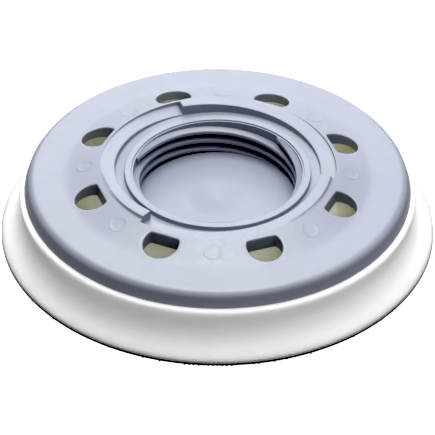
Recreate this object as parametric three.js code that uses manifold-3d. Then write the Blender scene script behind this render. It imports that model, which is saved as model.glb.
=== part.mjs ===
// Backing pad of a random-orbit sander: a moulded hub with a three-start thread
// and three locking ramps, cast into a foam body that carries hook tape.
// Millimetres, +Z up, origin at the centre of the sanding face.

import * as THREE from 'three';
import { mergeVertices } from 'three/addons/utils/BufferGeometryUtils.js';
import Module from 'manifold-3d';

const wasm = await Module();
wasm.setup();

// ---- Driving dimensions ----------------------------------------------------

// Sanding face and the layers under the foam
const padRadius = 62.5;
const tapeHeight = 1.1;
const filmHeight = 0.6;
const foamInset = 0.2; // foam edge behind the tape's edge

// Foam body
const foamHeight = 13.3; // film to the lip under the hub's rim
const skirtReach = 7.05; // hub's rim to the tape's edge
const lipOverhang = 1.75; // lip proud of the hub's rim
const lipHeight = 2.6;
const neckInset = 1.1; // neck under the lip, behind the lip's edge
const neckDrop = 4.4; // lip's top to the narrowest point of the neck
const bondGap = 0.3; // glue line all over the hub's underside

// Hub plate, heights above the hub's seat
const rimTopHeight = 4.45;
const rimRound = 1.6;
const rimDraft = 0.9;
const flatWidth = 10.1; // nearly flat band inside the rounded rim
const coneSlope = 0.289;
const flatSlope = 0.018;
const undersideSlope = 0.155;

// Threaded socket, with a lip and a groove round its mouth
const mouthRadius = 24.75;
const mouthStep = 0.45; // rebate round the mouth, wide and deep
const mouthDrop = 1.25; // socket's lip under the plate's surface
const socketDepth = 10.1;
const socketFloor = 2.5; // thickness
const bossWall = 4.2; // thickness round the thread, under the plate
const lipWidth = 1.95;
const grooveWidth = 2.8;
const grooveDepth = 1.45; // under the socket's lip
const grooveClimb = 0.6; // groove floor, inner to outer edge
const dimpleRadius = 8;
const dimpleDepth = 0.5;
const threadStarts = 3;
const threadLead = 9.3;
const threadDepth = 1.8;
const threadRoot = 2.2; // ridge height at the socket's wall
const threadCrest = 1.0; // ridge height at its inner edge
const threadEnd = 47; // degrees, where one ridge ends under the mouth
const threadTurn = 330; // degrees
const threadInset = 0.1; // ridges end this far under the rebate

// Collar with three ramps, outside the groove
const rampCount = 3;
const rampStart = 112.5; // degrees, low end of one ramp
const rampWidth = 3.4; // where a ramp stands proud of the plate
const recessMargin = 1; // wider than that where it is sunk into the plate
const rampLowDepth = 1.6; // low end under the plate's surface
const rampRise = 2.9;
const rampOverrun = 1.5; // degrees that each ramp's cut runs into the next one

// Dust ports and channels
const portCount = 8;
const portOffset = 22.5; // degrees
const portWeb = 1.14; // plate between the collar's recess and a port
const portRadius = 5.11;
const portFlat = 2.73; // flat inner side, from the port's centre
const faceHoleCircle = 45; // standard hole circle of the abrasive discs
const faceHoleRadius = 5;
const channelMargin = 0.15; // foam channel wider than the port all round

// Facets
const turnFacets = 72;
const portFacets = 20;

// ---- Worked out from them --------------------------------------------------

const foamBase = tapeHeight + filmHeight;
const lipTop = foamBase + foamHeight;
const seat = lipTop + bondGap;
const hubRadius = padRadius - skirtReach;
const rimTop = seat + rimTopHeight;
const flatStart = hubRadius - rimDraft - rimRound - flatWidth;
const threadWall = mouthRadius - mouthStep;
const bossRadius = threadWall + bossWall;
const lipOuter = mouthRadius + lipWidth;
const rampInner = lipOuter + grooveWidth;
const rampOuter = rampInner + rampWidth;
const recessOuter = rampOuter + recessMargin;
const portCircle = recessOuter + portWeb + portFlat;
const collarTop = plateTop(recessOuter);
const socketLip = collarTop - mouthDrop;
const floorTop = socketLip - socketDepth;
const bossBottom = floorTop - socketFloor;
const cutMargin = 2;
const weld = 0.4; // overlap of joined shapes

/** Height of the plate's upper surface: a cone, then a nearly flat band. */
function plateTop(r) {
    const flatEdge = rimTop + flatSlope * flatWidth;
    return r > flatStart
        ? flatEdge - flatSlope * (r - flatStart)
        : flatEdge + coneSlope * (flatStart - r);
}

/** Height of the plate's underside, one shallow cone from rim to boss. */
function plateUnderside(r) {
    return seat + undersideSlope * (hubRadius - r);
}

function radians(degrees) {
    return THREE.MathUtils.degToRad(degrees);
}

// ---- Solids ----------------------------------------------------------------

/** A closed three.js geometry as a manifold solid. */
function solid(geometry) {
    const bare = geometry.index ? geometry.toNonIndexed() : geometry.clone();
    bare.deleteAttribute('normal');
    bare.deleteAttribute('uv');
    const merged = mergeVertices(bare, 1e-4);
    const mesh = new wasm.Mesh({
        numProp: 3,
        vertProperties: new Float32Array(merged.attributes.position.array),
        triVerts: new Uint32Array(merged.index.array),
    });
    return new wasm.Manifold(mesh);
}

/** A manifold solid back as a three.js mesh with its own material. */
function part(name, shape, colour, roughness) {
    const { vertProperties, triVerts } = shape.getMesh();
    const geometry = new THREE.BufferGeometry();
    geometry.setAttribute('position', new THREE.BufferAttribute(vertProperties, 3));
    geometry.setIndex(new THREE.BufferAttribute(triVerts, 1));
    geometry.computeVertexNormals();
    const material = new THREE.MeshStandardMaterial({ color: colour, roughness, metalness: 0 });
    const mesh = new THREE.Mesh(geometry, material);
    mesh.name = name;
    return mesh;
}

/** A solid of revolution about Z from [radius, height] points, axis to axis. */
function turned(points) {
    const profile = points.map(([r, z]) => new THREE.Vector2(r, z));
    const geometry = new THREE.LatheGeometry(profile, turnFacets);
    geometry.rotateX(Math.PI / 2);
    return solid(geometry);
}

/** A unit box bent by a function of how far across, along and up each point is. */
function bentBox(steps, place) {
    const geometry = new THREE.BoxGeometry(1, 1, 1, 1, steps, 1);
    const points = geometry.attributes.position;
    for (let i = 0; i < points.count; i++) {
        const [x, y, z] = place(points.getX(i) + 0.5, points.getY(i) + 0.5, points.getZ(i) + 0.5);
        points.setXYZ(i, x, y, z);
    }
    return solid(geometry);
}

/** Points of an arc in a turned profile, from one angle to another. */
function profileArc(r, z, radius, from, to, steps) {
    return Array.from({ length: steps + 1 }, (_, i) => {
        const angle = radians(from + ((to - from) * i) / steps);
        return [r + radius * Math.cos(angle), z + radius * Math.sin(angle)];
    });
}

function aroundAxis(radius, degrees, z) {
    return [radius * Math.cos(radians(degrees)), radius * Math.sin(radians(degrees)), z];
}

/** One shape repeated about Z, joined into one solid. */
function patterned(count, makeAt) {
    const copies = Array.from({ length: count }, (_, i) => makeAt((360 * i) / count));
    return copies.reduce((all, next) => all.add(next));
}

// ---- Hub -------------------------------------------------------------------

/** Outline of the hub's underside, from the axis to the rim. */
function underside(gap) {
    return [
        [0, bossBottom - gap],
        [bossRadius + gap, bossBottom - gap],
        [bossRadius + gap, plateUnderside(bossRadius) - gap],
        [hubRadius, plateUnderside(hubRadius) - gap],
    ];
}

function hubBlank() {
    const shoulder = hubRadius - rimDraft;
    const ringTop = collarTop + rampRise;
    return turned([
        ...underside(0),
        ...profileArc(shoulder - rimRound, rimTop - rimRound, rimRound, 15, 90, 4),
        [flatStart, plateTop(flatStart)],
        [rampOuter, plateTop(rampOuter)],
        [rampOuter, ringTop],
        [rampInner, ringTop],
        [rampInner, socketLip - grooveDepth + grooveClimb],
        [lipOuter, socketLip - grooveDepth],
        [lipOuter, socketLip],
        [mouthRadius, socketLip],
        [mouthRadius, socketLip - mouthStep],
        [threadWall, socketLip - mouthStep],
        [threadWall, floorTop],
        [dimpleRadius, floorTop],
        [0, floorTop - dimpleDepth],
    ]);
}

/** All above one ramp, which climbs anticlockwise over its share of the collar. */
function aboveRamp(turn) {
    const span = 360 / rampCount;
    const end = (span + rampOverrun) / span;
    const top = collarTop + rampRise + cutMargin;
    return bentBox(turnFacets / rampCount, (across, along, up) => {
        const radius = THREE.MathUtils.lerp(rampInner - weld, recessOuter, across);
        const surface = collarTop - rampLowDepth + rampRise * end * along;
        return aroundAxis(radius, rampStart + turn + span * end * along, up > 0.5 ? top : surface);
    });
}

/** A thread ridge on the socket's wall, rising anticlockwise to its blunt end. */
function threadRidge(turn) {
    const end = socketLip - mouthStep - threadRoot / 2;
    return bentBox(Math.round((turnFacets * threadTurn) / 360), (across, along, up) => {
        const inward = 1 - across;
        const radius = threadWall + weld - (threadDepth + weld) * inward;
        const height = THREE.MathUtils.lerp(threadRoot, threadCrest, inward);
        const travel = threadTurn * (along - 1);
        const middle = end + (threadLead * travel) / 360;
        return aroundAxis(radius, threadEnd + turn + travel, middle + height * (up - 0.5));
    });
}

/** The thread's ridges, trimmed between the socket's floor and its mouth. */
function thread() {
    const ridges = patterned(threadStarts, threadRidge);
    const top = socketLip - mouthStep - threadInset;
    return ridges.intersect(turned([
        [0, floorTop - weld],
        [bossRadius - weld, floorTop - weld],
        [bossRadius - weld, top],
        [0, top],
    ]));
}

/**
 * A core of D section for one port, flat towards the axis, that changes into a
 * plain round one as it goes down, if its foot is round.
 */
function portCore(degrees, top, foot) {
    const geometry = new THREE.CylinderGeometry(1, 1, 1, portFacets);
    geometry.rotateX(Math.PI / 2);
    const points = geometry.attributes.position;
    for (let i = 0; i < points.count; i++) {
        const end = points.getZ(i) > 0 ? top : foot;
        const x = points.getX(i);
        const y = points.getY(i);
        const reach = x < 0 ? Math.min(end.radius, end.flat / Math.max(-x, 1e-9)) : end.radius;
        points.setXYZ(i, end.centre + x * reach, y * reach, end.z);
    }
    geometry.rotateZ(radians(degrees));
    return solid(geometry);
}

function hubPort(turn) {
    const end = { centre: portCircle, radius: portRadius, flat: portFlat };
    return portCore(portOffset + turn, { ...end, z: collarTop + cutMargin }, { ...end, z: seat - cutMargin });
}

function makeHub() {
    const shape = hubBlank()
        .subtract(patterned(rampCount, aboveRamp))
        .add(thread())
        .subtract(patterned(portCount, hubPort));
    return part('hub', shape, 0xb9c0d2, 0.42);
}

// ---- Foam body -------------------------------------------------------------

/** The flared skirt, an arc from the neck out to the foam's lower edge. */
function skirt(neckRadius, neckHeight, steps) {
    const reach = padRadius - foamInset - neckRadius;
    const drop = neckHeight - foamBase;
    const radius = (reach * reach + drop * drop) / (2 * reach);
    const sweep = Math.asin(drop / radius);
    return Array.from({ length: steps + 1 }, (_, i) => {
        const angle = (sweep * (steps - i)) / steps;
        return [neckRadius + radius * (1 - Math.cos(angle)), neckHeight - radius * Math.sin(angle)];
    });
}

function foamBlank() {
    const lipEdge = hubRadius + lipOverhang;
    const lipMiddle = lipTop - lipHeight / 2;
    const neckRadius = lipEdge - neckInset;
    return turned([
        [0, foamBase],
        ...skirt(neckRadius, lipTop - neckDrop, 6),
        [lipEdge - neckInset / 3, lipTop - lipHeight],
        [lipEdge, lipMiddle],
        [lipEdge - neckInset / 3, lipTop],
        ...underside(bondGap).reverse(),
    ]);
}

/** A dust channel, from a port down and outwards to its hole in the face. */
function foamChannel(turn) {
    const height = plateUnderside(portCircle) - foamBase;
    const drift = ((faceHoleCircle - portCircle) * cutMargin) / height;
    const top = {
        z: plateUnderside(portCircle) + cutMargin,
        centre: portCircle - drift,
        radius: portRadius + channelMargin,
        flat: portFlat + channelMargin - drift,
    };
    const foot = {
        z: foamBase - cutMargin,
        centre: faceHoleCircle + drift,
        radius: faceHoleRadius,
        flat: faceHoleRadius,
    };
    return portCore(portOffset + turn, top, foot);
}

function makeFoamBody() {
    const shape = foamBlank().subtract(patterned(portCount, foamChannel));
    return part('foam_body', shape, 0xf1eeee, 0.9);
}

// ---- Film and hook tape ----------------------------------------------------

/** A flat disc with the eight dust holes of the sanding face. */
function disc(bottom, top, radius) {
    const plain = { centre: faceHoleCircle, radius: faceHoleRadius, flat: faceHoleRadius };
    const hole = (turn) => portCore(
        portOffset + turn,
        { ...plain, z: top + cutMargin },
        { ...plain, z: bottom - cutMargin },
    );
    const blank = turned([[0, bottom], [radius, bottom], [radius, top], [0, top]]);
    return blank.subtract(patterned(portCount, hole));
}

function makeBondFilm() {
    return part('bond_film', disc(tapeHeight, foamBase, padRadius), 0x8f9090, 0.7);
}

function makeHookTape() {
    return part('hook_tape', disc(0, tapeHeight, padRadius), 0x151513, 0.8);
}

// ---- Assembly --------------------------------------------------------------

const pad = new THREE.Group();
pad.add(makeHub(), makeFoamBody(), makeBondFilm(), makeHookTape());

export default pad;
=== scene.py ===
import math

import bpy
import numpy as np
from mathutils import Matrix, Vector


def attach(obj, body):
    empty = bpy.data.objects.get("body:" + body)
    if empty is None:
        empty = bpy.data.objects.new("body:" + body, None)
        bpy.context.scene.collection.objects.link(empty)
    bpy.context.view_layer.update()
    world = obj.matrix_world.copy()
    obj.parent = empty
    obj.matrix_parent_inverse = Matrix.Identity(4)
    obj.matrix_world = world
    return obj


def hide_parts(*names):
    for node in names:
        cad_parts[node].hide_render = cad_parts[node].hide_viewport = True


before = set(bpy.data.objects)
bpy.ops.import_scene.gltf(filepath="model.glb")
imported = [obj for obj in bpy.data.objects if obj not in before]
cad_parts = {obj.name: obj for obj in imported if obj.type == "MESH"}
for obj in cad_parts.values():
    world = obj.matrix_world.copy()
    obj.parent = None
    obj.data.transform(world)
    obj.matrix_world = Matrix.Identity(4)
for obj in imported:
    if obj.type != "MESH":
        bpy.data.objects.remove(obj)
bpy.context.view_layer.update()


# ---- Hub -------------------------------------------------------------------
# One injection moulding in grey-blue glass-filled polyamide: the plate with its
# rounded rim and eight dust ports, the collar with three locking ramps, the
# groove, and the socket with a three-start thread. Heights are in millimetres.

MM = 0.001
PORT_STEP = 45.0                 # degrees between ports
HUB_EDGE = 55.43                 # radius of the hub's lower edge
SEAT = 15.21                     # height of that edge
RIM_ROUND = 2.4
RIM_CENTRE = (52.31, 17.26)      # radius and height of the rim's rounding
CONE_FOOT = 43.8                 # radius where the plate's cone meets its flat band
ZONE_IN, ZONE_OUT = 34.2, 44.0   # ring of the plate that holds the ports
PORT_CIRCLE = 37.77
PORT_RADIUS = 5.11
PORT_FLAT = 2.73                 # flat inner side, from the port's centre
RAMP_STARTS = np.array([112.5, 232.5, -7.5])
THREAD_ENDS = np.array([47.0, 167.0, 287.0])
THREAD_LEAD = 9.3
THREAD_PITCH = THREAD_LEAD / 3
THREAD_WALL = 24.3
THREAD_TOP = 19.15               # height of a ridge's top edge at 90 degrees
LEDGE = 20.98                    # height of the rebate inside the socket's lip
SOCKET_FLOOR = 11.2
LIP_TOP = 21.4
BOSS_RADIUS, BOSS_FOOT = 28.5, 8.668
MARK_CIRCLE = 38.0               # radius of the ring of witness marks


def turn_angles():
    """Angles round the axis in degrees, 0 to 360: an even 0.75 degree step, with
    extra ones packed round each ramp's step and each thread's blunt end."""
    by_step = np.array([-.45, -.3, -.18, -.1, -.05, .05, .1, .2, .45])
    by_end = np.array([-.2, .2])
    extra = np.concatenate([
        (RAMP_STARTS[:, None] + by_step).ravel(),
        (THREAD_ENDS[:, None] + by_end).ravel(),
    ])
    return np.unique(np.round(np.concatenate([np.arange(0, 360.5, .75), extra % 360]), 6))


TURN = turn_angles()


def polar(radius, degrees, height):
    """Points at a radius, an angle and a height, as one array of x, y, z."""
    radius, degrees, height = np.broadcast_arrays(radius, degrees, height)
    angle = np.radians(degrees)
    return np.stack([radius * np.cos(angle), radius * np.sin(angle), height], -1)


def revolve(profile):
    """A grid of profile rows round the whole turn. Each row is a radius and a
    height, which may be one number or one for every angle in TURN."""
    return np.stack([polar(r, TURN, z) for r, z in profile])


def arc(radius, height, bend, start, end, steps):
    """Profile rows on a circular arc: centre plus bend times cosine and sine of
    an angle that goes from start to end in degrees."""
    angles = np.radians(np.linspace(start, end, steps + 1))
    return [(radius + bend * np.cos(a), height + bend * np.sin(a)) for a in angles]


def closed_mesh(name, grids, crease=38, tolerance=1e-4):
    """One mesh from grids of points in millimetres: each grid cell is a quad
    between its four corners, coincident points are merged and quads that have
    collapsed become triangles or vanish. Edges over the crease angle stay sharp."""
    points, quads, offset = [], [], 0
    for grid in grids:
        rows, columns = grid.shape[:2]
        index = offset + np.arange(rows * columns).reshape(rows, columns)
        quads.append(np.stack([
            index[:-1, :-1], index[:-1, 1:], index[1:, 1:], index[1:, :-1],
        ], -1).reshape(-1, 4))
        points.append(grid.reshape(-1, 3))
        offset += rows * columns
    points, quads = np.concatenate(points), np.concatenate(quads)
    keys = np.round(points / tolerance).astype(np.int64)
    _, first, inverse = np.unique(keys, axis=0, return_index=True, return_inverse=True)
    quads = inverse.reshape(-1)[quads]
    points = points[first]
    triangles = np.concatenate([quads[:, [0, 1, 2]], quads[:, [0, 2, 3]]])
    a, b, c = triangles.T
    triangles = triangles[(a != b) & (b != c) & (c != a)]
    return mesh_object(name, points, triangles, crease)


def mesh_object(name, points, triangles, crease=38):
    """A smooth-shaded mesh object from points in millimetres and triangles."""
    mesh = bpy.data.meshes.new(name)
    mesh.vertices.add(len(points))
    mesh.vertices.foreach_set("co", (points * MM).astype(np.float32).ravel())
    mesh.loops.add(triangles.size)
    mesh.loops.foreach_set("vertex_index", triangles.astype(np.int32).ravel())
    mesh.polygons.add(len(triangles))
    mesh.polygons.foreach_set("loop_start", np.arange(0, triangles.size, 3, dtype=np.int32))
    mesh.polygons.foreach_set("use_smooth", np.ones(len(triangles), bool))
    mesh.update(calc_edges=True)
    mesh.validate()
    mesh.set_sharp_from_angle(angle=math.radians(crease))
    piece = bpy.data.objects.new(name, mesh)
    bpy.context.scene.collection.objects.link(piece)
    return piece


def plate_top(r):
    """Height of the plate: the higher of a cone and a nearly flat band, blended
    over a short stretch where they cross."""
    cone = 22.36 - .289 * (r - 35)
    flat = 19.82 - .018 * (r - CONE_FOOT)
    return .5 * (cone + flat + np.sqrt((cone - flat) ** 2 + .3 ** 2))


def plate_underside(r):
    """Height of the plate's underside, one shallow cone."""
    return SEAT + .155 * (HUB_EDGE - r)


def port_outline(angle, radius, flat, sharpness=22):
    """Distance from a port's centre to its edge: the smaller of a circle's
    radius and the way to a straight side, with the corners rounded off."""
    toward = np.maximum(-np.cos(angle), 1e-3)
    straight = np.minimum(flat / toward, 50.0)
    return (radius ** -sharpness + straight ** -sharpness) ** (-1 / sharpness)


def zone_loop(first, inner, outer, side_steps=14):
    """Radii and angles once round a sector of a ring, anticlockwise: out along
    one side, along the outer arc, back in and along the inner arc."""
    inside = TURN[(TURN > first) & (TURN < first + PORT_STEP)]
    side = np.linspace(inner, outer, side_steps + 1)
    radii = np.concatenate([
        side, np.full(inside.size, outer), side[::-1], np.full(inside.size + 1, inner),
    ])
    degrees = np.concatenate([
        np.full(side.size, first), inside, np.full(side.size, first + PORT_STEP),
        inside[::-1], [first],
    ])
    return radii, degrees


def port_patch(first, top, bottom, mouth, foot, edge=0.0, wall_steps=4, rings=(.3, .6, .85)):
    """The sector of a ring round one port or hole: from its border on top in to
    the mouth, over a rounded edge, down the wall to the foot, and out again.
    Top and bottom are (inner radius, outer radius, height function); mouth and
    foot are (centre radius, radius, flat)."""
    middle = first + PORT_STEP / 2

    def border(face):
        radii, degrees = zone_loop(first, face[0], face[1])
        turn = np.radians(degrees - middle)
        return radii * np.cos(turn), radii * np.sin(turn)

    def outline(face, shape, grow=0.0):
        x, y = border(face)
        centre, radius, flat = shape
        angle = np.arctan2(y, x - centre)
        reach = port_outline(angle, radius + grow, flat + grow)
        return centre + reach * np.cos(angle), reach * np.sin(angle)

    def lifted(plan, height):
        x, y = plan
        return x, y, height(np.hypot(x, y))

    def between(a, b, share):
        return tuple(p + (q - p) * share for p, q in zip(a, b))

    loops = []
    outside, lip = border(top), outline(top, mouth, edge)
    loops += [lifted(between(outside, lip, s), top[2]) for s in (0, *rings, 1)]
    for roll in (30, 60, 90) if edge else ():
        roll = math.radians(roll)
        x, y, z = lifted(outline(top, mouth, edge * (1 - math.sin(roll))), top[2])
        loops.append((x, y, z - edge * (1 - math.cos(roll))))
    start = loops[-1]
    end = lifted(outline(bottom, foot), bottom[2])
    loops += [between(start, end, s) for s in np.linspace(0, 1, wall_steps + 1)[1:]]
    outside, lip = border(bottom), outline(bottom, foot)
    loops += [lifted(between(lip, outside, s), bottom[2]) for s in (.4, 1)]
    turn = math.radians(middle)
    c, s = math.cos(turn), math.sin(turn)
    return np.stack([
        np.stack([x * c - y * s, x * s + y * c, z + 0 * x], -1) for x, y, z in loops
    ])


def past_step():
    """For every angle, how far it is past the nearest ramp's step, in degrees."""
    return (TURN - RAMP_STARTS[0] + 60) % 120 - 60


def ramp_height(low, high):
    """Height of the ramps: a straight climb of 120 degrees that falls back to
    its low end across each step, with a small round at the step's top and foot."""
    past = past_step()
    share = np.interp(
        past, [-.45, -.3, -.18, -.1, -.05, .05, .1, .2, .45],
        [0, .006, .02, .04, .07, .93, .96, .985, 1],
    )
    before = low + (high - low) * (1 + past / 120)
    after = low + (high - low) * past / 120
    rising = low + (high - low) * (((TURN - RAMP_STARTS[0]) % 120) / 120)
    return np.where(np.abs(past) < .46, (1 - share) * before + share * after, rising)


def collar_rows():
    """Profile rows from the ports' ring in to the socket's rebate: a ramp is sunk
    behind a recess wall where it is below the plate and has an outer wall of its
    own where it stands proud."""
    inner, outer = ramp_height(21.0, 23.95), ramp_height(21.35, 23.85)
    recess, foot, corner = 33.9, 33.02, .22

    def level(r):
        return inner + (outer - inner) * (r - 29.5) / 3.5

    sunk = np.clip(plate_top(recess) - level(recess), 0, None)
    nick = np.minimum(sunk, .12)
    floor = np.minimum(level(recess), plate_top(recess))
    proud = np.clip(level(foot) - plate_top(foot), 0, None)
    drop = np.minimum(proud, corner)
    rows = [
        (ZONE_IN, plate_top(ZONE_IN)),
        (34.02, plate_top(34.02)),
        (33.93, plate_top(33.93) - .3 * nick),
        (recess, plate_top(recess) - nick),
        (recess, np.minimum(floor + .12, plate_top(recess) - nick)),
        (33.86, np.minimum(floor + .04, plate_top(33.86))),
        (33.75, np.minimum(level(33.75), plate_top(33.75))),
        (33.4, np.minimum(level(33.4), plate_top(33.4))),
        (foot + .08, np.minimum(level(foot + .08), plate_top(foot + .08))),
        (foot, np.minimum(level(foot), plate_top(foot) + .07)),
    ]
    for roll in np.radians([0, 30, 60, 90]):
        r = 32.75 - corner + corner * math.cos(roll)
        rows.append((r, level(r) - drop * (1 - math.sin(roll))))
    rows += [(r, level(r)) for r in (31.8, 31.0, 30.3)]
    rows += [
        (29.7 - .2 * math.cos(roll), level(29.7) - .2 * (1 - math.sin(roll)))
        for roll in np.radians([90, 60, 30, 0])
    ]
    rows += [(29.5, 20.8), (29.46, 20.66), (29.34, 20.58), (29.15, 20.54)]
    rows += [(28.3, 20.36), (27.5, 20.18), (27.05, 20.06), (26.84, 20.08), (26.74, 20.2)]
    rows += [(26.72, 20.8)]
    rows += arc(26.5, LIP_TOP - .22, .22, 0, 90, 4)
    rows += [(26.1, LIP_TOP), (25.6, LIP_TOP), (25.2, LIP_TOP)]
    rows += arc(24.89, LIP_TOP - .12, .12, 90, 180, 3)
    rows += [(24.77, LEDGE + .08), (24.72, LEDGE + .01), (24.66, LEDGE)]
    return rows


THREAD_PROFILE = np.array([      # depth into the socket against height under a ridge's top
    [-3.1, 0], [-2.26, 0], [-2.16, .1], [-1.76, 1.58], [-1.66, 1.75], [-1.52, 1.8],
    [-.74, 1.8], [-.62, 1.75], [-.5, 1.6], [-.08, .1], [0, 0],
])


def thread_radius(degrees, height):
    """Radius of the socket's wall: the wall less the ridge's depth at this height
    under the ridge above, where that ridge hasn't yet reached its blunt end."""
    climb = THREAD_TOP + THREAD_LEAD * (degrees - 90) / 360
    above = climb + THREAD_PITCH * np.ceil((height - climb) / THREAD_PITCH - 1e-9)
    depth = np.interp(height - above, THREAD_PROFILE[:, 0], THREAD_PROFILE[:, 1])
    end = THREAD_TOP + THREAD_PITCH + THREAD_LEAD * (THREAD_ENDS[0] - 90) / 360
    before_end = (end - above) * 360 / THREAD_LEAD
    share = np.interp(before_end, [-.2, .2, 4, 10, 20, 30], [0, .3, .5, .72, .94, 1])
    return THREAD_WALL - depth * share


def thread_grid():
    """The socket's wall, as rows that climb with the thread and are clamped
    between the rebate and the floor, so that each ridge's edges are crisp."""
    climb = THREAD_TOP + THREAD_LEAD * (TURN - 90) / 360
    ridges = np.arange(3, -7, -1)
    levels = (ridges[:, None] * THREAD_PITCH + THREAD_PROFILE[::-1, 0]).ravel()
    heights = np.clip(climb + levels[:, None], SOCKET_FLOOR, LEDGE)
    return polar(thread_radius(TURN, heights), TURN, heights)


def floor_rows():
    """Profile rows of the socket's floor, flat with a shallow dished middle."""
    radii = [21.8, 20.5, 17, 13.5, 11, 10, 9.4, 8.9, 8.4, 7.9, 7.4, 6.6, 5.4, 4, 2.6, 1.4, .5, 0]
    dish = np.interp(radii, [0, .5, 7.4, 8.4, 9.4], [1.3, 1.29, .17, .05, 0])
    edge = (thread_radius(TURN, np.full(TURN.size, SOCKET_FLOOR)), SOCKET_FLOOR)
    return [edge] + [(r, SOCKET_FLOOR - d) for r, d in zip(radii, dish)]


def ejector_mark(degrees, across=2.6, proud=.06):
    """A round witness mark on the plate: a disc that follows the plate's height,
    a little proud of it, with its edge turned down into the plate."""
    angle = np.radians(np.linspace(0, 360, 49))
    turn = math.radians(degrees)
    rows = []
    low = proud - .035
    profile = [
        (0, -.3), (across, -.3), (across, proud - .03), (across - .08, proud),
        (across - .22, proud), (across - .36, low), (across * .4, low), (0, low),
    ]
    for reach, lift in profile:
        x = MARK_CIRCLE + reach * np.cos(angle)
        y = reach * np.sin(angle)
        z = plate_top(np.hypot(x, y)) + lift
        rows.append(np.stack([
            x * math.cos(turn) - y * math.sin(turn), x * math.sin(turn) + y * math.cos(turn), z,
        ], -1))
    return np.stack(rows)


top_face = (ZONE_IN, ZONE_OUT, plate_top)
under_face = (ZONE_IN, ZONE_OUT, plate_underside)
port = (PORT_CIRCLE, PORT_RADIUS, PORT_FLAT)
rim_rows = [
    (ZONE_OUT, plate_underside(ZONE_OUT)), (50, plate_underside(50)),
    (55.2, plate_underside(55.2)), (55.36, SEAT + .01), (HUB_EDGE, SEAT + .1),
    (55.1, 16.34), (54.85, 17.2),
    *arc(*RIM_CENTRE, RIM_ROUND, 17.8, 90, 10),
    (51.5, plate_top(51.5)), (49.5, plate_top(49.5)),
    (47.5, plate_top(47.5)), (46, plate_top(46)), (45, plate_top(45)), (44.4, plate_top(44.4)),
    (ZONE_OUT, plate_top(ZONE_OUT)),
]
boss_rows = [
    (0, BOSS_FOOT), (BOSS_RADIUS - .3, BOSS_FOOT), (BOSS_RADIUS, BOSS_FOOT + .3),
    (BOSS_RADIUS, plate_underside(BOSS_RADIUS)), (ZONE_IN, plate_underside(ZONE_IN)),
]
collar = revolve(collar_rows())
wall = thread_grid()
hub = closed_mesh("hub_moulding", [
    revolve(boss_rows),
    revolve(rim_rows),
    *[port_patch(first, top_face, under_face, port, port, edge=.3, rings=(.15, .35, .55, .75, .9))
      for first in np.arange(0, 360, PORT_STEP)],
    collar,
    np.stack([collar[-1], wall[0]]),
    wall,
    revolve(floor_rows()),
    *[ejector_mark(degrees) for degrees in np.arange(0, 360, 45)],
])


class Finish:
    """A material under construction: makes nodes and links them by name."""

    def __init__(self, name):
        self.material = bpy.data.materials.new(name)
        self.material.use_nodes = True
        self.tree = self.material.node_tree
        self.shader = self.tree.nodes["Principled BSDF"]
        self.place = self.node("ShaderNodeTexCoord").outputs["Object"]

    def node(self, kind, **settings):
        made = self.tree.nodes.new(kind)
        for key, value in settings.items():
            setattr(made, key, value)
        return made

    def link(self, source, target):
        self.tree.links.new(source, target)

    def noise(self, scale, detail=4.0):
        made = self.node("ShaderNodeTexNoise")
        made.inputs["Scale"].default_value = scale
        made.inputs["Detail"].default_value = detail
        made.inputs["Roughness"].default_value = .55
        self.link(self.place, made.inputs["Vector"])
        return made.outputs["Fac"]

    def cells(self, scale):
        made = self.node("ShaderNodeTexVoronoi", feature="F1")
        made.inputs["Scale"].default_value = scale
        self.link(self.place, made.inputs["Vector"])
        return made.outputs["Distance"]

    def spread(self, value, low, high, new_low, new_high):
        made = self.node("ShaderNodeMapRange")
        for name, number in zip(["From Min", "From Max", "To Min", "To Max"],
                                [low, high, new_low, new_high]):
            made.inputs[name].default_value = number
        self.link(value, made.inputs["Value"])
        return made.outputs["Result"]

    def tint(self, value, *stops):
        made = self.node("ShaderNodeValToRGB")
        ramp = made.color_ramp
        while len(ramp.elements) < len(stops):
            ramp.elements.new(.5)
        for element, (place, colour) in zip(ramp.elements, stops):
            element.position = place
            element.color = (*colour, 1)
        self.link(value, made.inputs["Fac"])
        return made.outputs["Color"]

    def bump(self, value, depth, below=None):
        made = self.node("ShaderNodeBump")
        made.inputs["Distance"].default_value = depth
        self.link(value, made.inputs["Height"])
        if below:
            self.link(below, made.inputs["Normal"])
        return made.outputs["Normal"]


plastic = Finish("hub_plastic")
cloud = plastic.noise(55, 3)
plastic.link(plastic.tint(cloud, (.3, (.225, .243, .296)), (.7, (.241, .259, .314))),
             plastic.shader.inputs["Base Color"])
plastic.link(plastic.spread(plastic.noise(700, 3), .3, .7, .38, .48),
             plastic.shader.inputs["Roughness"])
grain = plastic.bump(plastic.noise(2600, 3), .000012)
plastic.link(plastic.bump(plastic.noise(240, 3), .00003, grain), plastic.shader.inputs["Normal"])
hub.data.materials.append(plastic.material)
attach(hub, "root")
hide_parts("hub")


# ---- Foam body -------------------------------------------------------------
# White polyurethane foam, cast on under the hub in one piece with a closed skin
# outside. Its lip sits just under the hub's rim, then comes a neck and a flared
# skirt, and the eight dust channels slant outwards through the bare foam inside.

FOAM_BASE = 1.7
HOLE_CIRCLE, HOLE_RADIUS = 45.0, 5.0
HOLE_IN, HOLE_OUT = 38.6, 51.4
GLUE = .04                       # foam's skin under the hub
SKIN_INSIDE = 53.5               # the moulded skin lies outside this radius


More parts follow.
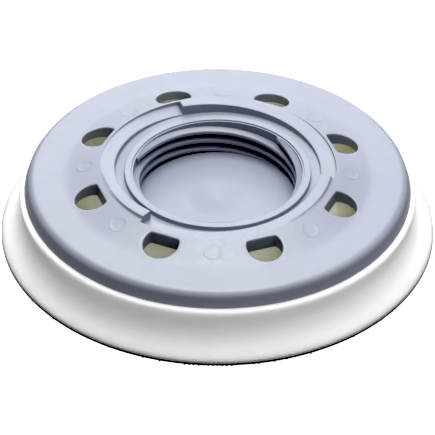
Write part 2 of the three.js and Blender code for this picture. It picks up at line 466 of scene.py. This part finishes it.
def flowing(points, steps):
    """A smooth curve through points: Catmull-Rom, each stretch a cubic with the
    slope at a point along the line between its neighbours."""
    p = np.array(points, float)
    p = np.vstack([2 * p[0] - p[1], p, 2 * p[-1] - p[-2]])
    t = np.linspace(0, 1, steps, endpoint=False)[:, None]
    a, b, c, d = (p[i:len(p) - 3 + i][:, None] for i in range(4))
    curve = .5 * (2 * b + (c - a) * t + (2 * a - 5 * b + 4 * c - d) * t ** 2
                  + (3 * b - a - 3 * c + d) * t ** 3)
    return [tuple(q) for q in curve.reshape(-1, 2)] + [tuple(p[-2])]


def foam_top(r):
    """Height of the foam's top, just under the hub's underside."""
    return plate_underside(r) - GLUE


skirt = flowing([
    (62.3, 2.0), (61.9, 2.25), (60.9, 2.95), (59.5, 4.2), (58.2, 5.8), (57.2, 7.6), (56.5, 9.4),
    (56.38, 10.8), (56.44, 11.6), (56.52, 12.3), (56.66, 12.9), (56.82, 13.45), (56.9, 13.95),
    (56.84, 14.4), (56.62, 14.75), (56.3, 14.97), (55.98, 15.08), (55.7, 15.12), (55.4, 15.15),
], 5)
foam_rows = [
    (HOLE_OUT, FOAM_BASE), (58, FOAM_BASE), (62.0, FOAM_BASE), (62.26, FOAM_BASE + .04),
    (62.33, FOAM_BASE + .14), *skirt, (55.2, foam_top(55.2)), (50, foam_top(50)),
    (ZONE_OUT, foam_top(ZONE_OUT)),
]
foam_core_rows = [
    (ZONE_IN, foam_top(ZONE_IN)), (BOSS_RADIUS + GLUE, foam_top(BOSS_RADIUS)),
    (BOSS_RADIUS + GLUE, BOSS_FOOT + .3 - GLUE), (BOSS_RADIUS - .3, BOSS_FOOT - GLUE),
    (0, BOSS_FOOT - GLUE),
]
foam_under = (HOLE_IN, HOLE_OUT, lambda r: FOAM_BASE + 0 * r)
hole = (HOLE_CIRCLE, HOLE_RADIUS, 50.0)
foam = closed_mesh("foam_pad", [
    revolve([(0, FOAM_BASE), (20, FOAM_BASE), (HOLE_IN, FOAM_BASE)]),
    revolve(foam_rows),
    *[port_patch(first, (ZONE_IN, ZONE_OUT, foam_top), foam_under,
                 (PORT_CIRCLE, PORT_RADIUS + .05, PORT_FLAT + .05), hole, wall_steps=14)
      for first in np.arange(0, 360, PORT_STEP)],
    revolve(foam_core_rows),
], crease=50)

skin = Finish("foam_skin")
patches = skin.noise(38, 4)
skin.link(skin.tint(patches, (.3, (.88, .865, .88)), (.7, (.91, .898, .912))),
          skin.shader.inputs["Base Color"])
skin.link(skin.spread(skin.noise(900, 3), .3, .7, .66, .8), skin.shader.inputs["Roughness"])
skin.shader.inputs["Subsurface Weight"].default_value = 1
skin.shader.inputs["Subsurface Radius"].default_value = (1, .95, .9)
skin.shader.inputs["Subsurface Scale"].default_value = .005
pores = skin.bump(skin.cells(2400), .00003)
skin.link(skin.bump(skin.noise(160, 4), .00016, pores), skin.shader.inputs["Normal"])

raw = Finish("foam_cut")
cells = raw.cells(1500)
raw.link(raw.tint(raw.noise(120, 3), (.3, (.66, .66, .56)), (.7, (.74, .74, .64))),
         raw.shader.inputs["Base Color"])
raw.shader.inputs["Roughness"].default_value = .9
raw.link(raw.bump(cells, .00005), raw.shader.inputs["Normal"])

foam.data.materials.append(skin.material)
foam.data.materials.append(raw.material)
centres = np.zeros(len(foam.data.polygons) * 3, np.float32)
foam.data.polygons.foreach_get("center", centres)
centres = centres.reshape(-1, 3)
bare = (np.hypot(centres[:, 0], centres[:, 1]) < SKIN_INSIDE * MM).astype(np.int32)
foam.data.polygons.foreach_set("material_index", bare)
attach(foam, "root")
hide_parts("foam_body")


# ---- Bond film -------------------------------------------------------------
# The grey layer of adhesive film that holds the hook tape to the foam, punched
# with the eight dust holes and trimmed flush with the pad's edge.

FILM_BASE = 1.3
FILM_EDGE = 62.5


def punched_disc(name, bottom, top, edge):
    """A flat disc with eight round holes: a ring of holed sectors between a
    plain centre and a plain rim with slightly rounded edges."""
    face = (HOLE_IN, HOLE_OUT, lambda r: top + 0 * r)
    back = (HOLE_IN, HOLE_OUT, lambda r: bottom + 0 * r)
    soft = .08
    return closed_mesh(name, [
        revolve([(0, bottom), (20, bottom), (HOLE_IN, bottom)]),
        revolve([
            (HOLE_OUT, bottom), (57, bottom), (edge - soft, bottom), (edge, bottom + soft),
            (edge, top - soft), (edge - soft, top), (57, top), (HOLE_OUT, top),
        ]),
        *[port_patch(first, face, back, hole, hole, wall_steps=2, rings=(.5,))
          for first in np.arange(0, 360, PORT_STEP)],
        revolve([(HOLE_IN, top), (20, top), (0, top)]),
    ])


film = punched_disc("bond_layer", FILM_BASE, FOAM_BASE, FILM_EDGE)
adhesive = Finish("bond_film")
adhesive.link(adhesive.tint(adhesive.noise(420, 4), (.3, (.24, .245, .24)), (.7, (.34, .345, .34))),
              adhesive.shader.inputs["Base Color"])
adhesive.shader.inputs["Roughness"].default_value = .6
adhesive.link(adhesive.bump(adhesive.noise(1200, 3), .00006), adhesive.shader.inputs["Normal"])
film.data.materials.append(adhesive.material)
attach(film, "root")
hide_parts("bond_film")


# ---- Hook tape -------------------------------------------------------------
# Black polyamide hook tape on the sanding face: a thin woven backing, and rows
# of small bent hooks moulded on it that grip the abrasive disc's loops.

BACKING_BASE = .72
HOOK_PITCH = 1.3
HOOK_ROOM = .45                  # hooks stay this far from edges and holes

backing = punched_disc("hook_backing", BACKING_BASE, FILM_BASE, FILM_EDGE)
weave = Finish("hook_tape")
threads = weave.node("ShaderNodeTexWave", wave_type="BANDS", bands_direction="X")
threads.inputs["Scale"].default_value = 900
weave.link(weave.place, threads.inputs["Vector"])
across = weave.node("ShaderNodeTexWave", wave_type="BANDS", bands_direction="Y")
across.inputs["Scale"].default_value = 900
weave.link(weave.place, across.inputs["Vector"])
crossing = weave.node("ShaderNodeMath", operation="MULTIPLY")
weave.link(threads.outputs["Fac"], crossing.inputs[0])
weave.link(across.outputs["Fac"], crossing.inputs[1])
weave.link(weave.tint(crossing.outputs["Value"], (0, (.012, .012, .012)), (1, (.03, .03, .029))),
           weave.shader.inputs["Base Color"])
weave.shader.inputs["Roughness"].default_value = .75
weave.link(weave.bump(crossing.outputs["Value"], .0001), weave.shader.inputs["Normal"])
backing.data.materials.append(weave.material)
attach(backing, "root")
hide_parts("hook_tape")


def hook_places():
    """Where the hooks stand: a square grid with every other row shifted by half
    a step and a little unevenness, kept off the edge and the dust holes."""
    draw = np.random.default_rng(11)
    steps = np.arange(-63, 63, HOOK_PITCH)
    x, y = np.meshgrid(steps, steps)
    x = x + HOOK_PITCH / 2 * (np.arange(len(steps))[:, None] % 2)
    x, y = x.ravel(), y.ravel()
    x = x + draw.uniform(-.08, .08, x.size)
    y = y + draw.uniform(-.08, .08, y.size)
    keep = np.hypot(x, y) < FILM_EDGE - HOOK_ROOM
    for degrees in np.arange(PORT_STEP / 2, 360, PORT_STEP):
        cx, cy, _ = polar(HOLE_CIRCLE, degrees, 0.0)
        keep &= np.hypot(x - cx, y - cy) > HOLE_RADIUS + HOOK_ROOM
    side = np.where((np.round((y + 63) / HOOK_PITCH).astype(int) % 2) == 0, 1.0, -1.0)
    return x[keep], y[keep], side[keep]


def hook_rows():
    """Every hook as a four-sided stem carried down along an arc that bends over
    sideways to a point, all worked out as one array of hooks by sections."""
    x, y, side = hook_places()
    run = np.array([0, .18, .40, .55, .52])       # sideways, along the bend
    down = np.array([.80, .34, .06, .16, .34])    # height above the sanding face
    thick = np.array([.17, .12, .11, .08, .03])
    corner = np.array([[1, 1], [-1, 1], [-1, -1], [1, -1]])
    lean = np.arctan2(np.gradient(run), -np.gradient(down))
    px = run[None, :, None] + thick[None, :, None] * corner[:, 0] * np.cos(lean)[None, :, None]
    pz = down[None, :, None] + thick[None, :, None] * corner[:, 0] * np.sin(lean)[None, :, None]
    py = thick[None, :, None] * corner[:, 1]
    px = x[:, None, None] + side[:, None, None] * (px - .22)
    pz = np.maximum(np.broadcast_to(pz, px.shape), .01)
    py = y[:, None, None] + side[:, None, None] * np.broadcast_to(py, px.shape)
    points = np.stack([px, py, pz], -1).reshape(-1, 3)
    ring = np.arange(4)
    walls = []
    for section in range(4):
        a, b = section * 4 + ring, section * 4 + np.roll(ring, -1)
        walls += [np.stack([a, b, b + 4], -1), np.stack([a, b + 4, a + 4], -1)]
    caps = np.array([[2, 1, 0], [3, 2, 0], [16, 17, 18], [16, 18, 19]])
    one = np.concatenate([*walls, caps])
    triangles = (np.arange(x.size)[:, None, None] * 20 + one).reshape(-1, 3)
    return points, triangles


hooks = mesh_object("hook_rows", *hook_rows(), crease=60)
nylon = Finish("hook_nylon")
nylon.link(nylon.tint(nylon.noise(500, 3), (.3, (.02, .02, .02)), (.7, (.04, .04, .04))),
           nylon.shader.inputs["Base Color"])
nylon.shader.inputs["Roughness"].default_value = .5
hooks.data.materials.append(nylon.material)
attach(hooks, "root")


# ---- Floor, light and camera -----------------------------------------------
# A plain white sweep under the pad that casts no light on it, a soft light close
# overhead with weaker ones behind, beside and in front, and a long lens that looks
# down from the front. The tone curve drops its darks a little.

sweep_rows = [(0, 0), (.3, 0), (1.2, 0), (2.0, 0)] + [
    (2.0 + 2.0 * math.sin(a), 2.0 - 2.0 * math.cos(a)) for a in np.radians(np.arange(10, 91, 10))
]
rows = np.stack([polar(r, np.linspace(0, 360, 97), z - .00005) for r, z in reversed(sweep_rows)])
sweep = closed_mesh("studio_floor", [rows / MM], crease=80)
white = Finish("studio_white")
white.shader.inputs["Base Color"].default_value = (.95, .95, .95, 1)
white.shader.inputs["Roughness"].default_value = 1
white.shader.inputs["Specular IOR Level"].default_value = 0
white.shader.inputs["Emission Color"].default_value = (1, 1, 1, 1)
white.shader.inputs["Emission Strength"].default_value = 1.0
sweep.data.materials.append(white.material)
sweep.visible_diffuse = False
sweep.visible_glossy = False
sweep.visible_shadow = False


def soft_light(name, place, size, power):
    """A square soft light at a place in metres, turned to face the pad."""
    lamp = bpy.data.lights.new(name, "AREA")
    lamp.shape = "SQUARE"
    lamp.size = size
    lamp.energy = power
    made = bpy.data.objects.new(name, lamp)
    made.location = place
    made.rotation_mode = "QUATERNION"
    made.rotation_quaternion = (-Vector(place)).to_track_quat("-Z", "Y")
    bpy.context.scene.collection.objects.link(made)


soft_light("overhead", (0, .12, .58), .38, 4.5)
soft_light("behind", (-.2, 1.0, .84), .8, 5.4)
soft_light("low_behind", (0, 1.22, .44), .8, 4)
soft_light("right", (.75, 0, 1.06), .8, 4.4)
soft_light("front_fill", (.1, -.9, .95), .8, 3.4)
world = bpy.data.worlds.new("studio")
world.use_nodes = True
world.node_tree.nodes["Background"].inputs["Color"].default_value = (.36, .36, .36, 1)
world.node_tree.nodes["Background"].inputs["Strength"].default_value = 1
bpy.context.scene.world = world
view = bpy.context.scene.view_settings
view.view_transform = "Standard"
view.use_curve_mapping = True
view.curve_mapping.black_level = (.085, .09, .1)
view.curve_mapping.update()

LENS, DISTANCE = 286.17, .99981   # focal length in millimetres, distance in metres
SHIFT = .1446 * MM               # the aim point moves this far left and up
azimuth, elevation, roll = (math.radians(x) for x in (2.047, 37.432, .418))
back = Vector((math.sin(azimuth) * math.cos(elevation), -math.cos(azimuth) * math.cos(elevation),
               math.sin(elevation)))
right = Vector((math.cos(azimuth), math.sin(azimuth), 0))
up = back.cross(right)
aim = Vector((.158, .006, 4.133)) * MM - SHIFT * right + SHIFT * up
camera = bpy.data.objects.new("camera", bpy.data.cameras.new("camera"))
camera.data.sensor_width = 36
camera.data.lens = LENS
side_axis = math.cos(roll) * right + math.sin(roll) * up
camera.matrix_world = Matrix.Translation(aim + DISTANCE * back) @ Matrix((
    side_axis, back.cross(side_axis), back)).transposed().to_4x4()
bpy.context.scene.collection.objects.link(camera)
bpy.context.scene.camera = camera
